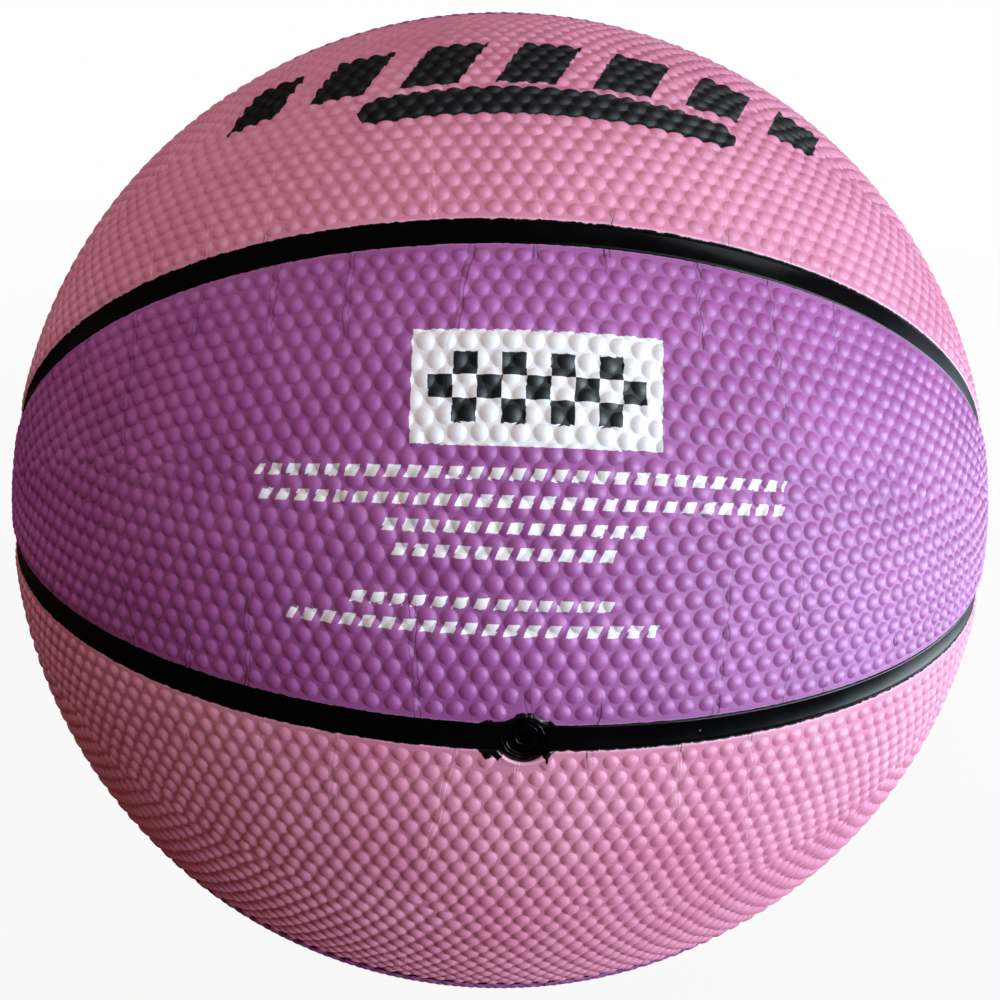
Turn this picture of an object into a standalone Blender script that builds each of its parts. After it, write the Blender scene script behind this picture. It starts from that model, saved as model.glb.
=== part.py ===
"""A youth-size rubber basketball, taken apart into its real layers.

Metres, +Z up, origin at the centre of the ball. The two poles where all panels meet lie on +X and -X.
The valve looks out along -Y, in the channel that runs round the ball level with the floor.
"""

import math

import bmesh
import bpy
from mathutils import Matrix, Vector

# Ball
BALL_RADIUS = 0.1112
PANEL_COUNT = 8
SEAT_GAP = 0.0003

# Cover: coloured panels with black strips between them
CHANNEL_WIDTH = 0.0046
CHANNEL_DEPTH = 0.0010
CHANNEL_DISH = 0.00025
STRIP_THICKNESS = 0.0008
SHOULDER_WIDTH = 0.0018
SHOULDER_DROP = 0.0007
SHOULDER_SHARE_AT_TIP = 0.3
TIP_HALF_WIDTH = 0.0003

# Layers under the cover
CARCASS_THICKNESS = 0.0005
WINDING_THICKNESS = 0.0004
BLADDER_THICKNESS = 0.0006

# Valve: a housing bonded to the bladder, and a plug that pushes into it
NEEDLE_RADIUS = 0.0009
FUNNEL_RADIUS = 0.0013
FUNNEL_DEPTH = 0.0008
PLUG_HEAD_RADIUS = 0.0026
PLUG_HEAD_THICKNESS = 0.0014
PLUG_SHANK_RADIUS = 0.0019
PLUG_TIP_RADIUS = 0.0015
PLUG_LENGTH = 0.0140
PLUG_TAPER = 0.0038
PLUG_TIP_REACH = 0.0010
PLUG_RIB_HEIGHT = 0.00015
PLUG_RIB_WIDTH = 0.0012
PLUG_RIBS = 3
PLUG_SINK = 0.0002
RIM_WALL = 0.0006
RIM_RISE = 0.0002
EDGE_ROUND = 0.0002
HOUSING_WALL = 0.0011
FLANGE_REACH = 0.0090
FLANGE_THICKNESS = 0.0012
FLANGE_EDGE_THICKNESS = 0.0006
EYE_RING_WIDTH = 0.0006

# Facets
STATIONS = 24
CROWN_COLUMNS = 5
SHOULDER_STEPS = 2
LAYER_SEGMENTS = 28
LAYER_RINGS = 14
TURNED_STEPS = 24
NOTCH_STEPS = 6
SMOOTH_UP_TO = math.radians(40)

# Colours, as seen in even light
PINK = "e27fa6"
PURPLE = "a04fa8"
BLACK = "0b0b0c"
BUTYL = "1d1c1c"
NYLON = "d9d4c6"

# Angles and radii that follow from the sizes above
PANEL_ANGLE = 2 * math.pi / PANEL_COUNT
STATION_ANGLE = math.pi / STATIONS
LAYER_ANGLE = 2 * math.pi / LAYER_SEGMENTS
PANEL_THICKNESS = CHANNEL_DEPTH + STRIP_THICKNESS
COVER_INNER = BALL_RADIUS - PANEL_THICKNESS
CHANNEL_FLOOR = BALL_RADIUS - CHANNEL_DEPTH

# The flat facets of the cover dip inwards between their corners, and the carcass stays clear of the deepest
FACET_DIP = math.cos(STATION_ANGLE / 2) * math.cos(PANEL_ANGLE / CROWN_COLUMNS / 2)
CARCASS_OUTER = COVER_INNER * FACET_DIP - SEAT_GAP
CARCASS_INNER = CARCASS_OUTER - CARCASS_THICKNESS
WINDING_OUTER = CARCASS_INNER - SEAT_GAP
WINDING_INNER = WINDING_OUTER - WINDING_THICKNESS
BLADDER_OUTER = WINDING_INNER - SEAT_GAP
BLADDER_INNER = BLADDER_OUTER - BLADDER_THICKNESS

# The valve's radii grow outwards from the needle: bore, wall, hole, eye of the strip, notch of the panels
SHANK_BORE = PLUG_SHANK_RADIUS + PLUG_RIB_HEIGHT + SEAT_GAP
HEAD_BORE = max(PLUG_HEAD_RADIUS + SEAT_GAP, SHANK_BORE)
STEM_RADIUS = max(HEAD_BORE + RIM_WALL, SHANK_BORE + HOUSING_WALL)
VALVE_HOLE = STEM_RADIUS + SEAT_GAP
EYE_RADIUS = VALVE_HOLE + EYE_RING_WIDTH
NOTCH_RADIUS = EYE_RADIUS + SEAT_GAP
FLANGE_RADIUS = VALVE_HOLE + FLANGE_REACH

# Distances from the ball's centre along the valve's axis
RIM_TOP = CHANNEL_FLOOR + RIM_RISE
PLUG_TOP = RIM_TOP - PLUG_SINK
HEAD_SEAT = PLUG_TOP - PLUG_HEAD_THICKNESS - SEAT_GAP
HOUSING_END = PLUG_TOP - PLUG_LENGTH + PLUG_TIP_REACH

for old in list(bpy.data.objects):
    bpy.data.objects.remove(old)


def linear(hex_colour):
    """An sRGB hex colour as the linear RGBA that a shader takes."""
    channels = [int(hex_colour[i : i + 2], 16) / 255 for i in (0, 2, 4)]
    return [c / 12.92 if c <= 0.04045 else ((c + 0.055) / 1.055) ** 2.4 for c in channels] + [1.0]


def rubber(name, hex_colour, roughness):
    """A plain material in one colour."""
    made = bpy.data.materials.new(name)
    made.use_nodes = True
    shader = made.node_tree.nodes["Principled BSDF"]
    shader.inputs["Base Color"].default_value = linear(hex_colour)
    shader.inputs["Roughness"].default_value = roughness
    shader.inputs["Metallic"].default_value = 0.0
    made.diffuse_color = linear(hex_colour)
    return made


def add_object(name, bm, material):
    """A named object on the ball's empty, from a bmesh, with its round faces smoothed."""
    mesh = bpy.data.meshes.new(name)
    bm.to_mesh(mesh)
    bm.free()
    mesh.materials.append(material)
    mesh.shade_smooth()
    mesh.set_sharp_from_angle(angle=SMOOTH_UP_TO)
    made = bpy.data.objects.new(name, mesh)
    bpy.context.collection.objects.link(made)
    made.parent = ball
    return made


def cut(target, cutter):
    """Takes the cutter's shape out of the target."""
    boolean = target.modifiers.new("cut_" + cutter.name, "BOOLEAN")
    boolean.operation = "DIFFERENCE"
    boolean.solver = "EXACT"
    boolean.object = cutter


def on_ball(along, turn, radius):
    """A point at an angle along a panel from its middle, turned about the pole axis from -Y towards +Z."""
    reach = radius * math.cos(along)
    return Vector((radius * math.sin(along), -reach * math.cos(turn), reach * math.sin(turn)))


def loft(sections):
    """A closed body through sections of as many points each, with a face over the first and the last."""
    bm = bmesh.new()
    rings = [[bm.verts.new(point) for point in section] for section in sections]
    for ring, following in zip(rings, rings[1:]):
        for i in range(len(ring)):
            bm.faces.new((ring[i - 1], ring[i], following[i], following[i - 1]))
    bm.faces.new(rings[0])
    bm.faces.new(rings[-1])
    bmesh.ops.recalc_face_normals(bm, faces=bm.faces)
    return bm


def stations(end, round_radius, half_width, radius):
    """Angles from tip to tip, which step along the arc of a round eye where one sits in the middle."""
    steps = [i * STATION_ANGLE - math.pi / 2 for i in range(1, STATIONS)]
    arc = []
    if round_radius > half_width:
        widest = math.acos(half_width / round_radius)
        turns = [widest * (2 * i / NOTCH_STEPS - 1) for i in range(NOTCH_STEPS + 1)]
        arc = [round_radius * math.sin(turn) / radius for turn in turns]
    clear = STATION_ANGLE / 4
    nearest = max(arc) + clear if arc else 0.0
    plain = [step for step in steps if nearest <= abs(step) < end - clear]
    return sorted(plain + arc + [-end, end])


def round_half_width(along, radius, round_radius, half_width):
    """Half the width of a channel at an angle along it, with a round eye in its middle."""
    away = abs(along) * radius
    if away >= round_radius:
        return half_width
    return max(half_width, math.sqrt(round_radius**2 - away**2))


def panel_section(along, turn, notches):
    """One cross-section of a panel: its crown between two rolled shoulders, and its inner face."""

    def edges(radius):
        walls = []
        for side, notch in zip((-1, 1), notches):
            offset = round_half_width(along, BALL_RADIUS, notch, CHANNEL_WIDTH / 2)
            lean = math.asin(min(1.0, offset / (radius * math.cos(along))))
            walls.append(turn + side * (PANEL_ANGLE / 2 - lean))
        return walls

    low, high = edges(BALL_RADIUS)
    shoulder = min(SHOULDER_WIDTH / (BALL_RADIUS * math.cos(along)), SHOULDER_SHARE_AT_TIP * (high - low))
    shares = [i / SHOULDER_STEPS for i in range(SHOULDER_STEPS)]
    drops = [SHOULDER_DROP * (1 - share) ** 2 for share in shares]
    crown = high - low - 2 * shoulder
    outer = [(low + shoulder * share, drop) for share, drop in zip(shares, drops)]
    outer += [(low + shoulder + crown * i / CROWN_COLUMNS, 0.0) for i in range(CROWN_COLUMNS + 1)]
    outer += [(high - shoulder * share, drop) for share, drop in zip(reversed(shares), reversed(drops))]
    inner_low, inner_high = edges(COVER_INNER)
    step = (inner_high - inner_low) / CROWN_COLUMNS
    points = [on_ball(along, angle, BALL_RADIUS - drop) for angle, drop in outer]
    points += [on_ball(along, inner_high - step * i, COVER_INNER) for i in range(CROWN_COLUMNS + 1)]
    return points


def tip_angle(half_width, radius):
    """The angle along a panel at which the room between two channels narrows to the tip's width."""
    from_pole = (half_width + TIP_HALF_WIDTH) / math.sin(PANEL_ANGLE / 2)
    return math.acos(from_pole / radius)


def panel(number):
    """A lune of the cover from pole to pole. The two beside the valve have a round notch for its eye."""
    turn = (number + 0.5) * PANEL_ANGLE
    notches = (NOTCH_RADIUS if number == 0 else 0.0, NOTCH_RADIUS if number == PANEL_COUNT - 1 else 0.0)
    end = tip_angle(CHANNEL_WIDTH / 2, COVER_INNER)
    angles = stations(end, max(notches), CHANNEL_WIDTH / 2, BALL_RADIUS)
    bm = loft([panel_section(along, turn, notches) for along in angles])
    colour, material = (("purple", purple), ("pink", pink))[number % 2]
    return add_object(f"{colour}_panel_{number // 2 + 1}", bm, material)


def strip_section(along, turn, round_radius):
    """One cross-section of a strip, mitred towards the pole so that all strips meet there as a star."""
    half_width = CHANNEL_WIDTH / 2 - SEAT_GAP
    points = []
    wide = round_half_width(along, BALL_RADIUS, round_radius, half_width)
    across = Vector((0, math.sin(turn), math.cos(turn)))
    dished = CHANNEL_FLOOR - CHANNEL_DISH
    outline = [(-1, COVER_INNER), (-1, CHANNEL_FLOOR), (0, dished), (1, CHANNEL_FLOOR), (1, COVER_INNER)]
    for side, radius in outline:
        room = radius * math.cos(along) * math.sin(PANEL_ANGLE / 2) - SEAT_GAP / 2
        mitred = min(wide, room / math.cos(PANEL_ANGLE / 2))
        points.append(on_ball(along, turn, radius) + across * side * mitred)
    return points


def strip(number):
    """The black strip in one channel. The one at the front widens into an eye round the valve."""
    turn = number * PANEL_ANGLE
    round_radius = EYE_RADIUS if number == 0 else 0.0
    half_width = CHANNEL_WIDTH / 2 - SEAT_GAP
    bend = math.acos((half_width + SEAT_GAP / 2) / math.tan(PANEL_ANGLE / 2) / COVER_INNER)
    end = math.acos((TIP_HALF_WIDTH + SEAT_GAP) / math.tan(PANEL_ANGLE / 2) / COVER_INNER)
    angles = stations(bend, round_radius, half_width, BALL_RADIUS)
    bm = loft([strip_section(along, turn, round_radius) for along in [-end] + angles + [end]])
    return add_object("valve_channel_strip" if number == 0 else f"channel_strip_{number}", bm, black)


def layer(name, outer, inner, material):
    """A round shell, with its poles where the panels meet and a hole for the valve's stem."""
    bm = bmesh.new()
    to_pole_axis = Matrix.Rotation(math.pi / 2, 4, "Y")
    for radius in (inner, outer):
        bmesh.ops.reverse_faces(bm, faces=bm.faces)
        bmesh.ops.create_uvsphere(
            bm, u_segments=LAYER_SEGMENTS, v_segments=LAYER_RINGS, radius=radius, matrix=to_pole_axis
        )
    made = add_object(name, bm, material)
    cut(made, valve_hole)
    return made


def turned(name, profile, material):
    """A body turned about the valve's axis from an outline of radii and heights over the plug's top."""
    bm = bmesh.new()
    corners = [bm.verts.new((radius, 0, height)) for radius, height in profile]
    rims = [bm.edges.new(pair) for pair in zip(corners, corners[1:] + corners[:1])]
    bmesh.ops.spin(
        bm,
        geom=corners + rims,
        cent=(0, 0, 0),
        axis=(0, 0, 1),
        angle=2 * math.pi,
        steps=TURNED_STEPS,
        use_merge=True,
    )
    bmesh.ops.remove_doubles(bm, verts=bm.verts, dist=1e-6)
    bmesh.ops.recalc_face_normals(bm, faces=bm.faces)
    made = add_object(name, bm, material)
    made.location = (0, -PLUG_TOP, 0)
    made.rotation_euler = (math.pi / 2, 0, 0)
    return made


def valve_housing():
    """The rubber cup that holds the plug. Its flange lies inside the bladder, sloped like the facets."""
    facet_slope = math.tan(LAYER_ANGLE / math.sqrt(2))
    flange_top = BLADDER_INNER - VALVE_HOLE * facet_slope - SEAT_GAP - PLUG_TOP
    flange_rim = flange_top - FLANGE_REACH * facet_slope
    top = RIM_TOP - PLUG_TOP
    end = HOUSING_END - PLUG_TOP
    seat = HEAD_SEAT - PLUG_TOP
    profile = [
        (HEAD_BORE, top),
        (STEM_RADIUS - EDGE_ROUND, top),
        (STEM_RADIUS, top - EDGE_ROUND),
        (STEM_RADIUS, flange_top),
        (FLANGE_RADIUS, flange_rim),
        (FLANGE_RADIUS, flange_rim - FLANGE_EDGE_THICKNESS),
        (STEM_RADIUS, flange_top - FLANGE_THICKNESS),
        (STEM_RADIUS, end),
        (SHANK_BORE, end),
        (SHANK_BORE, seat),
        (HEAD_BORE, seat),
    ]
    return turned("valve_housing", profile, butyl)


def valve_plug():
    """The self-sealing plug: a flat head, a ribbed shank, a tapered tip and the needle's way through it."""
    shank_top = -PLUG_HEAD_THICKNESS
    pitch = (PLUG_LENGTH - PLUG_HEAD_THICKNESS - PLUG_TAPER) / PLUG_RIBS
    profile = [
        (FUNNEL_RADIUS, 0),
        (PLUG_HEAD_RADIUS - EDGE_ROUND, 0),
        (PLUG_HEAD_RADIUS, -EDGE_ROUND),
        (PLUG_HEAD_RADIUS, shank_top),
        (PLUG_SHANK_RADIUS, shank_top),
    ]
    for i in range(PLUG_RIBS):
        middle = shank_top - (i + 0.5) * pitch
        profile += [
            (PLUG_SHANK_RADIUS, middle + PLUG_RIB_WIDTH / 2),
            (PLUG_SHANK_RADIUS + PLUG_RIB_HEIGHT, middle),
            (PLUG_SHANK_RADIUS, middle - PLUG_RIB_WIDTH / 2),
        ]
    profile += [
        (PLUG_SHANK_RADIUS, -PLUG_LENGTH + PLUG_TAPER),
        (PLUG_TIP_RADIUS, -PLUG_LENGTH),
        (NEEDLE_RADIUS, -PLUG_LENGTH),
        (NEEDLE_RADIUS, -FUNNEL_DEPTH),
    ]
    return turned("valve_plug", profile, black)


ball = bpy.data.objects.new("ball", None)
bpy.context.collection.objects.link(ball)

pink = rubber("pink_rubber", PINK, 0.5)
purple = rubber("purple_rubber", PURPLE, 0.5)
black = rubber("black_rubber", BLACK, 0.3)
butyl = rubber("butyl_rubber", BUTYL, 0.6)
nylon = rubber("nylon_thread", NYLON, 0.8)

# The way through every layer for the valve's stem
hole = bmesh.new()
bmesh.ops.create_cone(
    hole,
    cap_ends=True,
    segments=TURNED_STEPS,
    radius1=VALVE_HOLE,
    radius2=VALVE_HOLE,
    depth=BALL_RADIUS,
    matrix=Matrix.Translation((0, -BALL_RADIUS, 0)) @ Matrix.Rotation(math.pi / 2, 4, "X"),
)
valve_hole = add_object("valve_hole", hole, black)
valve_hole.hide_render = True
valve_hole.display_type = "WIRE"

layer("bladder", BLADDER_OUTER, BLADDER_INNER, butyl)
layer("winding", WINDING_OUTER, WINDING_INNER, nylon)
layer("carcass", CARCASS_OUTER, CARCASS_INNER, butyl)
for position in range(PANEL_COUNT):
    panel(position)
    made_strip = strip(position)
    if position == 0:
        cut(made_strip, valve_hole)
valve_housing()
valve_plug()
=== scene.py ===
import math

import bmesh
import bpy
from mathutils import Matrix, Vector, noise
from mathutils.geometry import delaunay_2d_cdt
from mathutils.kdtree import KDTree


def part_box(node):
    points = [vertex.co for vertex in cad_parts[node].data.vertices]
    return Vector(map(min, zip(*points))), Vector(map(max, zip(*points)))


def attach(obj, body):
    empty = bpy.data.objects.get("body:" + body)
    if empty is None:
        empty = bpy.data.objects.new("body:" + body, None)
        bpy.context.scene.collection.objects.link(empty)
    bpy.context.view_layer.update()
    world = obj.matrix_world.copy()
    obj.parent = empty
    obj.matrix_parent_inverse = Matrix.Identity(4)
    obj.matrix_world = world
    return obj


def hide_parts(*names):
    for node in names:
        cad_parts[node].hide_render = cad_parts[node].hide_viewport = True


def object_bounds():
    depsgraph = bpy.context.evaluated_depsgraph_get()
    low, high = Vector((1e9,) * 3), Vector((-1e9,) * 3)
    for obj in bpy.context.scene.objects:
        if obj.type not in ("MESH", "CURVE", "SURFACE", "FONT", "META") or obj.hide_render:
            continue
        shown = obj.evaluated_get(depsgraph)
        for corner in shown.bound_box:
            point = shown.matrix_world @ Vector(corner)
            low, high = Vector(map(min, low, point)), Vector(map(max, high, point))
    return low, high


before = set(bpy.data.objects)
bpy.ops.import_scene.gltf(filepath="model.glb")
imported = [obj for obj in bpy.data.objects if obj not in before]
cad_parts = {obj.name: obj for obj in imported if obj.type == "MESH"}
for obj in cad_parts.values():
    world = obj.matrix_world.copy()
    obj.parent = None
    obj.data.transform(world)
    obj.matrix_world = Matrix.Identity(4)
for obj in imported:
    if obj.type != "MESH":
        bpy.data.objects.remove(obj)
cad_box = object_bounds()

# Bladder
# A bag of butyl rubber, moulded thin and dusted with talc so that it doesn't stick to the thread round it.
# It is the innermost layer and holds the air.
mm = 0.001
BUTYL_BLACK = "1d1c1c"
TALC_GREY = "4a4846"
TALC_SPAN = (0.45, 0.8)
BUTYL_GRAIN = 0.6 * mm
BUTYL_GRAIN_DEPTH = 0.05 * mm
BLADDER_CLOUDS = 14 * mm

# The colour sockets of a Mix node
MIX_A, MIX_B, MIXED = 6, 7, 2


def linear(hex_colour):
    """An sRGB hex colour as linear RGBA."""
    channels = [int(hex_colour[i : i + 2], 16) / 255 for i in (0, 2, 4)]
    return [c / 12.92 if c <= 0.04045 else ((c + 0.055) / 1.055) ** 2.4 for c in channels] + [1.0]


def add_node(tree, kind, inputs=None, **settings):
    """A new node with its settings made, its inputs filled with values or linked to sockets or nodes."""
    node = tree.nodes.new("ShaderNode" + kind)
    for name, value in settings.items():
        setattr(node, name, value)
    for socket, value in (inputs or {}).items():
        if isinstance(value, bpy.types.Node):
            value = value.outputs[0]
        if isinstance(value, bpy.types.NodeSocket):
            tree.links.new(value, node.inputs[socket])
        else:
            node.inputs[socket].default_value = value
    return node


def maths(tree, operation, *values):
    """A Math node on up to three values."""
    return add_node(tree, "Math", dict(enumerate(values)), operation=operation)


def ramp(tree, value, span=(0.0, 1.0), ends=(0.0, 1.0), kind="LINEAR"):
    """A node that goes from one end to the other while a value crosses a span."""
    limits = {"From Min": span[0], "From Max": span[1], "To Min": ends[0], "To Max": ends[1]}
    return add_node(tree, "MapRange", {"Value": value, **limits}, interpolation_type=kind)


def mottle(tree, place, size, detail=2.0, roughness=0.5):
    """Soft noise with spots of about a given size."""
    settings = {"Vector": place, "Scale": 1 / size, "Detail": detail, "Roughness": roughness}
    return add_node(tree, "TexNoise", settings)


def blended(tree, share, one, other):
    """The socket of a blend of two colours, each a hex colour or a socket."""
    one, other = [linear(colour) if isinstance(colour, str) else colour for colour in (one, other)]
    mix = add_node(tree, "Mix", {"Factor": share, MIX_A: one, MIX_B: other}, data_type="RGBA")
    return mix.outputs[MIXED]


def empty_material(name):
    """A material with no nodes yet, and its node tree."""
    made = bpy.data.materials.new(name)
    made.use_nodes = True
    made.node_tree.nodes.clear()
    return made, made.node_tree


def talced_butyl(name, cloud_size):
    """Butyl rubber as it leaves the mould: dull black with pale clouds of talc."""
    made, tree = empty_material(name)
    place = add_node(tree, "TexCoord").outputs["Object"]
    dust = ramp(tree, mottle(tree, place, cloud_size, 4.0), TALC_SPAN)
    colour = blended(tree, dust, BUTYL_BLACK, TALC_GREY)
    grain = mottle(tree, place, BUTYL_GRAIN)
    bump = add_node(tree, "Bump", {"Height": grain, "Strength": 0.3, "Distance": BUTYL_GRAIN_DEPTH})
    finish = {"Base Color": colour, "Roughness": 0.62, "IOR": 1.5, "Normal": bump}
    shader = add_node(tree, "BsdfPrincipled", finish)
    add_node(tree, "OutputMaterial", {"Surface": shader})
    return made


def dress(node_name, material):
    """Gives a CAD node that stays in view of the other pieces its finish."""
    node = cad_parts[node_name]
    node.data.materials.clear()
    node.data.materials.append(material)


dress("bladder", talced_butyl("talced_butyl_bladder", BLADDER_CLOUDS))

# Winding
# Nylon thread wound round the bladder in every direction, so that the ball swells evenly and stays round.
# Here it is one shell, and its material draws two layers of turns that cross.
THREAD_PALE = "e2ddd0"
THREAD_SHADE = "9c9484"
THREAD_RELIEF = 0.2 * mm
LAYER_LEANS = ((0.3, 0.5, 0.0), (-0.6, 0.2, 1.2))

# A Wave texture repeats every 2 pi / 20 of its unit. The turns are drawn coarser than the real ones, so
# that they show
WAVE_RATE = 20
TURN_SPACING = 2 * math.pi * 1.1 * mm


def wound_nylon(name):
    """Spun nylon thread laid in crossing turns: pale and silky, with painted shade between the threads."""
    made, tree = empty_material(name)
    place = add_node(tree, "TexCoord").outputs["Object"]
    heights = []
    for lean in LAYER_LEANS:
        turned_place = add_node(tree, "Mapping", {"Vector": place, "Rotation": lean})
        scale = 2 * math.pi / (TURN_SPACING * WAVE_RATE)
        waves = {"Vector": turned_place, "Scale": scale, "Distortion": 1.5, "Detail": 1.0}
        turns = add_node(tree, "TexWave", waves, wave_type="BANDS")
        heights.append(turns.outputs["Fac"])
    over = maths(tree, "MAXIMUM", *heights)
    colour = blended(tree, over, THREAD_SHADE, THREAD_PALE)
    bump = add_node(tree, "Bump", {"Height": over, "Strength": 0.8, "Distance": THREAD_RELIEF})
    finish = {"Base Color": colour, "Roughness": 0.55, "IOR": 1.53, "Normal": bump}
    shader = add_node(tree, "BsdfPrincipled", finish)
    add_node(tree, "OutputMaterial", {"Surface": shader})
    return made


dress("winding", wound_nylon("wound_nylon_thread"))

# Carcass
# A thin skin of black rubber cured over the winding. The panels are cemented to it.
CARCASS_CLOUDS = 40 * mm
dress("carcass", talced_butyl("carcass_rubber", CARCASS_CLOUDS))

# Valve housing
# A cup of black rubber with a flange, bonded inside the bladder. Its rim shows in the front channel, and
# the lacquer of the channels was brushed over it too.
LACQUER_BLACK = "030304"
LACQUER_GRAIN = 0.35 * mm
LACQUER_POOLS = 9 * mm
LACQUER_RELIEF = 0.03 * mm
POOL_SPAN = (0.3, 0.7)
DULLEST, GLOSSIEST = 0.08, -0.06
DUST_GREY = "77777a"
SPECK_SPACING = 2.2 * mm
SPECK_SHARE = 0.12
DUST_FROM = 0.82
VALVE_ROUGHNESS = 0.14
TURN_STEPS = 96
TURNED_EDGE = 0.16 * mm
TURNED_WELD = 0.001 * mm
SHARP = math.radians(30)

plug_low, plug_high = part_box("valve_plug")
housing_low, housing_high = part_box("valve_housing")
plug_top = -plug_low.y
plug_end = -plug_high.y
head_radius = plug_high.x
rim_top = -housing_low.y
housing_end = -housing_high.y
flange_radius = housing_high.x

HEAD_THICKNESS = 1.4 * mm
SHANK_RADIUS = 1.9 * mm
RIB_HEIGHT = 0.15 * mm
SEAT_GAP = 0.3 * mm
RIM_WALL = 0.6 * mm
FLANGE_DEPTH = 7.0 * mm
FLANGE_THICKNESS = 1.2 * mm
FLANGE_RIM_TOP = 2.2 * mm
FLANGE_RIM_FOOT = 2.8 * mm


def black_lacquer(name, roughness):
    """Black lacquer brushed on rubber: deep gloss, a fine grain, and small specks where dust dried in."""
    made, tree = empty_material(name)
    place = add_node(tree, "TexCoord").outputs["Object"]
    brush = mottle(tree, place, LACQUER_GRAIN, 3.0)
    pools = mottle(tree, place, LACQUER_POOLS)
    gloss = ramp(tree, pools, POOL_SPAN, (roughness + GLOSSIEST, roughness + DULLEST))
    specks = add_node(tree, "TexVoronoi", {"Vector": place, "Scale": 1 / SPECK_SPACING, "Randomness": 1.0})
    grit = ramp(tree, specks, (0.0, SPECK_SHARE), (1.0, 0.0))
    relief = maths(tree, "MULTIPLY_ADD", grit, 0.5, brush)
    rare = maths(tree, "GREATER_THAN", specks.outputs["Color"], DUST_FROM)
    dust = maths(tree, "MULTIPLY", grit, rare)
    bump = add_node(tree, "Bump", {"Height": relief, "Strength": 0.25, "Distance": LACQUER_RELIEF})
    finish = {
        "Base Color": blended(tree, dust, LACQUER_BLACK, DUST_GREY),
        "Roughness": gloss,
        "IOR": 1.46,
        "Specular IOR Level": 0.16,
        "Normal": bump,
    }
    shader = add_node(tree, "BsdfPrincipled", finish)
    add_node(tree, "OutputMaterial", {"Surface": shader})
    return made


def add_piece(name, mesh, material, body, nodes):
    """A smooth-shaded object from a mesh, riding on a CAD body in place of CAD nodes."""
    mesh.materials.append(material)
    mesh.polygons.foreach_set("use_smooth", [True] * len(mesh.polygons))
    made = bpy.data.objects.new(name, mesh)
    bpy.context.scene.collection.objects.link(made)
    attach(made, body)
    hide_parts(*nodes)
    return made


def turned_mesh(name, profile):
    """A mesh turned about the valve's axis, from an outline of radii and distances from the centre."""
    bm = bmesh.new()
    corners = [bm.verts.new((radius, 0, height)) for radius, height in profile]
    rims = [bm.edges.new(pair) for pair in zip(corners, corners[1:] + corners[:1])]
    bmesh.ops.spin(
        bm,
        geom=corners + rims,
        cent=(0, 0, 0),
        axis=(0, 0, 1),
        angle=2 * math.pi,
        steps=TURN_STEPS,
        use_merge=True,
    )
    bmesh.ops.remove_doubles(bm, verts=bm.verts, dist=TURNED_WELD)
    bmesh.ops.recalc_face_normals(bm, faces=bm.faces)
    bmesh.ops.bevel(
        bm,
        geom=[edge for edge in bm.edges if edge.calc_face_angle(0) > SHARP],
        offset=TURNED_EDGE,
        segments=3,
        profile=0.5,
        affect="EDGES",
        material=-1,
        clamp_overlap=True,
    )
    bm.transform(Matrix.Rotation(math.pi / 2, 4, "X"))
    mesh = bpy.data.meshes.new(name)
    bm.to_mesh(mesh)
    bm.free()
    return mesh


head_bore = head_radius + SEAT_GAP
shank_bore = SHANK_RADIUS + RIB_HEIGHT + SEAT_GAP
stem_radius = head_bore + RIM_WALL
head_seat = plug_top - HEAD_THICKNESS - SEAT_GAP
flange_top = rim_top - FLANGE_DEPTH
housing_profile = [
    (head_bore, rim_top),
    (stem_radius, rim_top),
    (stem_radius, flange_top),
    (flange_radius, flange_top - FLANGE_RIM_TOP),
    (flange_radius, flange_top - FLANGE_RIM_FOOT),
    (stem_radius, flange_top - FLANGE_THICKNESS),
    (stem_radius, housing_end),
    (shank_bore, housing_end),
    (shank_bore, head_seat),
    (head_bore, head_seat),
]
valve_lacquer = black_lacquer("valve_lacquer", VALVE_ROUGHNESS)
housing_mesh = turned_mesh("housing", housing_profile)
add_piece("housing", housing_mesh, valve_lacquer, "ball", ["valve_housing"])

# Valve plug
# A soft plug with a flat head, grip ribs round its shank and a way for the pump's needle through it.
# It pushes into the housing and pulls out to be replaced.
NEEDLE_RADIUS = 0.9 * mm
FUNNEL_RADIUS = 1.3 * mm
FUNNEL_DEPTH = 0.8 * mm
TIP_RADIUS = 1.5 * mm
TAPER = 3.8 * mm
RIB_WIDTH = 1.2 * mm
RIB_COUNT = 3

shank_top = plug_top - HEAD_THICKNESS
rib_pitch = (shank_top - plug_end - TAPER) / RIB_COUNT
plug_profile = [
    (FUNNEL_RADIUS, plug_top),
    (head_radius, plug_top),
    (head_radius, shank_top),
    (SHANK_RADIUS, shank_top),
]
for rib in range(RIB_COUNT):
    middle = shank_top - (rib + 0.5) * rib_pitch
    plug_profile += [
        (SHANK_RADIUS, middle + RIB_WIDTH / 2),
        (SHANK_RADIUS + RIB_HEIGHT, middle),
        (SHANK_RADIUS, middle - RIB_WIDTH / 2),
    ]
plug_profile += [
    (SHANK_RADIUS, plug_end + TAPER),
    (TIP_RADIUS, plug_end),
    (NEEDLE_RADIUS, plug_end),
    (NEEDLE_RADIUS, plug_top - FUNNEL_DEPTH),
]
plug_mesh = turned_mesh("plug", plug_profile)
add_piece("plug", plug_mesh, valve_lacquer, "valve_plug", ["valve_plug"])

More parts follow.
